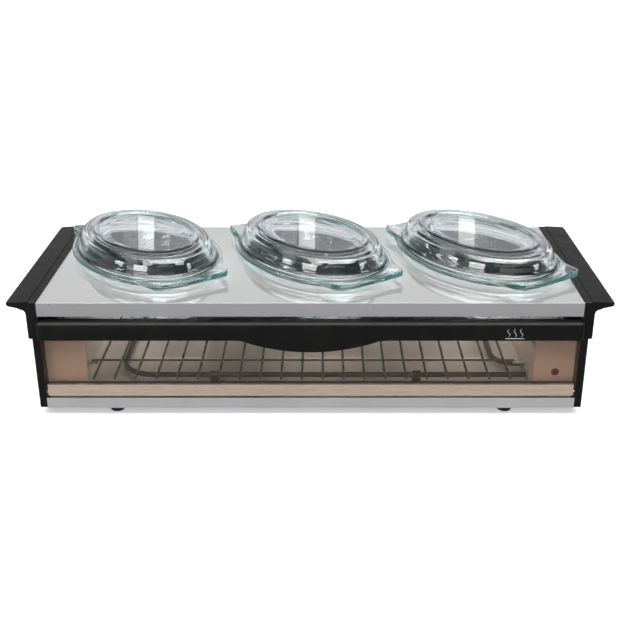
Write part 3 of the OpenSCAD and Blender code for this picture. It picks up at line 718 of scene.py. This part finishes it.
def make_heat_mark():
    """A small printed symbol on the bar: three rising waves over a short line."""
    left, right = 226 * MM, 248 * MM
    low, high = bar_high.z - 17 * MM, bar_high.z - 7 * MM
    front = bar_low.y - 0.02 * MM
    wide, thick, swing = 1.0 * MM, 0.08 * MM, 1.5 * MM
    waves, steps = 3, 24
    strips = []
    for k in range(waves):
        x = left + (right - left) * (k + 0.5) / waves
        rings = []
        for i in range(steps + 1):
            t = i / steps
            here = Vector((x + swing * math.sin(2 * math.pi * t), front, low + (high - low) * t))
            w = wide * (0.35 + 0.65 * math.sin(math.pi * min(max(t, 0.06), 0.94))) / 2
            rings.append([here + Vector((-w, 0, 0)), here + Vector((-w * 0.6, -thick, 0)),
                          here + Vector((w * 0.6, -thick, 0)), here + Vector((w, 0, 0))])
        strips.append(skin("wave", rings))
    rings = [[Vector((x, front, low - 2.6 * MM)), Vector((x, front - thick, low - 2.4 * MM)),
              Vector((x, front - thick, low - 1.8 * MM)), Vector((x, front, low - 1.6 * MM))]
             for x in (left, right)]
    strips.append(skin("line", rings))
    add_piece("heat_mark", join_meshes("heat_mark", strips), LOOKS["printed_mark"], "door")


# ---------------------------------------------------------------- rack and element

def make_rack():
    """The rack's wires with rounded ends, and a small weld at each crossing."""
    radius, cross, sides = 1.5 * MM, 1.25 * MM, 16
    wires, pitch, x0 = 21, 25 * MM, -260.5 * MM
    z = rack_high.z - radius
    cross_z = rack_low.z + cross
    y0, y1 = rack_low.y + radius, rack_high.y - radius
    cross_y = (CASE_FRONT + 66 * MM, CASE_FRONT + 215 * MM)
    parts = []
    for i in range(wires):
        x = x0 + i * pitch
        route = [(x, y0 + (y1 - y0) * k / 8, z) for k in range(9)]
        parts.append(sweep("wire", route, radius, sides, radius))
    for y in cross_y:
        a, b = rack_low.x + cross, rack_high.x - cross
        route = [(a + (b - a) * k / 24, y, cross_z) for k in range(25)]
        parts.append(sweep("cross", route, cross, sides, cross))
        for i in range(wires):
            parts.append(weld(x0 + i * pitch, y, (z + cross_z) / 2))
    add_piece("wire_rack_mesh", join_meshes("wire_rack", parts), LOOKS["rack_wire"],
              "rack", ["wire_rack"])


def weld(x, y, z):
    """A squashed bead where two wires cross."""
    wide, tall, rows, sides = 1.75 * MM, 1.5 * MM, 6, 12
    rings = []
    for k in range(1, rows):
        a = math.pi * k / rows
        r = wide * math.sin(a)
        rings.append([Vector((x + r * math.cos(t), y + r * math.sin(t), z - tall * math.cos(a)))
                      for t in (2 * math.pi * i / sides for i in range(sides))])
    return skin("weld", rings)


def arc(centre, radius, start, end, z):
    """Points of an arc in the element's level, from start to end degrees."""
    steps = 14
    out = []
    for k in range(steps + 1):
        a = math.radians(start + (end - start) * k / steps)
        out.append((centre[0] + radius * math.cos(a), centre[1] + radius * math.sin(a), z))
    return out


def make_element():
    """The element's tube as one smooth sweep along the frame's route."""
    radius = (element_high.z - element_low.z) / 2
    z = element_low.z + radius
    bend, turn, straight = 40 * MM, 26 * MM, 200 * MM
    left, right, end = element_low.x + radius, 230 * MM, element_high.x
    front, back = element_low.y + radius, element_high.y - radius
    inlet = CASE_FRONT + 75 * MM
    route = [(end, front, z), (straight, front, z)]
    route += arc((left + bend, front + bend), bend, 270, 180, z)
    route += arc((left + bend, back - bend), bend, 180, 90, z)
    route += arc((right - bend, back - bend), bend, 90, 0, z)
    route += arc((right + turn, inlet + turn), turn, 180, 270, z)
    route += [(end, inlet, z)]
    add_piece("heating_element_tube", sweep("heating_element", route, radius, 28),
              LOOKS["element_sheath"], "server", ["heating_element"])


# ---------------------------------------------------------------- all pieces

make_top_panel()
for side in ("left", "middle", "right"):
    make_glassware(side)
make_handle_bar()
make_heat_mark()
make_rack()
make_element()

# CAD nodes whose shape stays: each is copied with its edges rounded by so many mm
EDGES = {
    "left_cheek": ("black_moulding", 1.2), "right_cheek": ("black_moulding", 1.2),
    "left_handle": ("black_moulding", 0.7), "right_handle": ("black_moulding", 0.7),
    # painted shade: the end plates' dark steel and the back panel's near-black paint keep the cavity
    # dark
    "left_end_plate": ("heat_steel", 0.2), "right_end_plate": ("heat_steel", 0.2),
    "base_tray": ("tray_satin", 0.45), "back_panel": ("dark_paint", 0.2),
    "reflector_floor": ("reflector", 0.3), "left_end_housing": ("face_paint", 0.35),
    "right_end_housing": ("face_paint", 0.35), "element_clips": ("heat_steel", 0.2),
    "terminal_block": ("ceramic_white", 0.3), "magnetic_catches": ("dark_bakelite", 0.5),
    "door_glass": ("bronze_glass", 0.35), "door_bottom_rail": ("rail_anodised", 0.3),
    "door_strikes": ("sheet_steel", 0.2), "feet": ("foot_rubber", 0.8),
    "foot_nuts": ("fastener", 0.2), "gland_nut": ("black_moulding", 0.4)}
for node, (slot, width) in EDGES.items():
    softened(node, slot, width)

for side in ("left", "right"):
    line_with(bpy.data.objects[side + "_end_housing_skin"], "reflector",
              lambda place, normal: abs(normal.x) > 0.9)
# painted shade: the anodised rail's upward faces take the dark steel, so its top edge reads dark under
# the glass
line_with(bpy.data.objects["door_bottom_rail_skin"], "heat_steel", lambda place, normal: normal.z > 0.3)

# CAD nodes that stay as they are and take only a finish
for row in frame["record"]["subparts"]:
    obj = frame["nodes"][row["node"]]
    if not obj.hide_render:
        obj.data.materials.clear()
        obj.data.materials.append(LOOKS[row["material_slot"]])


# ---------------------------------------------------------------- stage

FLOOR_SEEN, FLOOR_UNSEEN = 0.4, 0.2  # its glow as the camera and as other rays find it
FLOOR_BOUNCE = (0.42, 0.42, 0.42)


def make_floor():
    """A wide pale floor under the object."""
    size = 6.0
    mesh = mesh_from("floor", [(-size, -size, 0), (size, -size, 0), (size, size, 0), (-size, size, 0)],
                     [[0, 1, 2, 3]])
    floor = bpy.data.objects.new("floor", mesh)
    bpy.context.scene.collection.objects.link(floor)
    look = Look("floor_white", (0.92, 0.92, 0.92), 0.6, Emission_Color=(1, 1, 1, 1))
    look.mottle(2, 0.01).dims_its_bounce(FLOOR_BOUNCE)
    seen = look.node("ShaderNodeLightPath").outputs["Is Camera Ray"]
    glow = look.spread(seen, FLOOR_UNSEEN, FLOOR_SEEN, 0, 1)
    look.link(glow, look.shader.inputs["Emission Strength"])
    mesh.materials.append(look.material)


def area_light(name, place, aim, width, height, power, gloss=True, matt=True, through=True):
    """A soft box, and whether it shows in gloss, lights matt surfaces and shines through
    glass. The camera never sees it directly."""
    light = bpy.data.lights.new(name, "AREA")
    light.shape = "RECTANGLE"
    light.size, light.size_y = width, height
    light.energy = power
    lamp = bpy.data.objects.new(name, light)
    lamp.location = place
    lamp.rotation_euler = (Vector(aim) - Vector(place)).to_track_quat("-Z", "Y").to_euler()
    lamp.visible_camera = False
    lamp.visible_glossy = gloss
    lamp.visible_diffuse = matt
    lamp.visible_transmission = through
    bpy.context.scene.collection.objects.link(lamp)


# What the object mirrors: in front, then behind it from low down up to overhead
FRONT_OF_ROOM = (0.025, 0.025, 0.025)
SWEEP = (0.98, 0.95, 1.0)
BACK_OF_ROOM = (0.62, 0.60, 0.64)
ABOVE_BACK = (0.03, 0.03, 0.03)
TOP_OF_ROOM = (1.2, 1.2, 1.2)
PALE_BACKDROP = (0.98, 0.98, 0.98)  # what the camera sees past the floor


def make_world():
    """A studio round the object: bright overhead, grey behind, dark in front. The camera
    itself sees a plain pale backdrop."""
    world = bpy.data.worlds.new("studio")
    bpy.context.scene.world = world
    world.use_nodes = True
    tree = world.node_tree
    split = tree.nodes.new("ShaderNodeSeparateXYZ")
    tree.links.new(tree.nodes.new("ShaderNodeTexCoord").outputs["Generated"], split.inputs["Vector"])

    def mixed(share, first, second):
        """The first colour where the share is 0, and the second where it is 1."""
        mix = tree.nodes.new("ShaderNodeMix")
        mix.data_type = "RGBA"
        tree.links.new(share, mix.inputs["Factor"])
        for socket, colour in (("A", first), ("B", second)):
            place = next(i for i in mix.inputs if i.name == socket and i.type == "RGBA")
            if isinstance(colour, tuple):
                place.default_value = (*colour, 1)
            else:
                tree.links.new(colour, place)
        return next(o for o in mix.outputs if o.type == "RGBA")

    def blend(axis, start, end, first, second):
        """A colour that goes from first to second as the direction's axis goes from start to end."""
        share = tree.nodes.new("ShaderNodeMapRange")
        share.interpolation_type = "SMOOTHSTEP"
        share.inputs["From Min"].default_value = start
        share.inputs["From Max"].default_value = end
        tree.links.new(split.outputs[axis], share.inputs["Value"])
        return mixed(share.outputs["Result"], first, second)

    low = blend("Z", 0.2, 0.27, SWEEP, BACK_OF_ROOM)
    back = blend("Z", 0.41, 0.46, low, ABOVE_BACK)
    round_about = blend("Y", -0.35, 0.15, FRONT_OF_ROOM, back)
    sky = blend("Z", 0.6, 0.72, round_about, TOP_OF_ROOM)
    backdrop = mixed(tree.nodes.new("ShaderNodeLightPath").outputs["Is Camera Ray"], sky, PALE_BACKDROP)
    tree.links.new(backdrop, tree.nodes["Background"].inputs["Color"])


CAMERA_PITCH = 23.41                # degrees
# Where it stands, in metres: to the right, ahead of the panel's front edge, and above the panel
CAMERA_X, CAMERA_AHEAD, CAMERA_ABOVE = 0.0148, 1.0644, 0.4522


def make_camera():
    """From the front and 23 degrees down, with the whole width of the object in view."""
    data = bpy.data.cameras.new("camera")
    data.lens = 58.36
    data.sensor_width = 36
    data.shift_x = -0.021
    data.clip_start, data.clip_end = 0.05, 50
    camera = bpy.data.objects.new("camera", data)
    camera.location = (CAMERA_X, CASE_FRONT - CAMERA_AHEAD, PANEL_TOP + CAMERA_ABOVE)
    camera.rotation_euler = (math.radians(90 - CAMERA_PITCH), 0, 0)
    bpy.context.scene.collection.objects.link(camera)
    bpy.context.scene.camera = camera


WINDOWS = ((-74, 0.45, 8), (-44, 0.9, 20), (64, 0.5, 9))    # degrees from the front, width, watts
STRIPS = (-0.673, -0.047, 0.573)    # places in X of the narrow lights behind, one for each lid
LIGHT_RANGE = 2.5                   # how far off they all stand


def make_lights():
    """Soft boxes that light the object, and narrower ones that only show in its gloss."""
    area_light("key", (0, -1.0, 2.2), (0, 0, 0.1), 2.4, 1.2, 40)
    area_light("fill", (0, -2.2, 1.0), (0, 0, 0.1), 1.6, 0.8, 10, gloss=False)
    area_light("overhead", (0, -0.85, 2.0), (0, -0.85, 0), 3.4, 1.6, 143, matt=False, through=False)
    for turn, width, power in WINDOWS:
        way = math.radians(turn)
        place = (LIGHT_RANGE * math.sin(way), -LIGHT_RANGE * math.cos(way), 0.5)
        area_light("window", place, (0, 0, 0.17), width, 0.5, power, matt=False)
    for x in STRIPS:
        area_light("strip", (x, LIGHT_RANGE, 1.04), (x, 0, 0.16), 0.062, 0.17, 0.042)


make_floor()
make_world()
make_camera()
make_lights()
bpy.context.scene.view_settings.view_transform = "Standard"
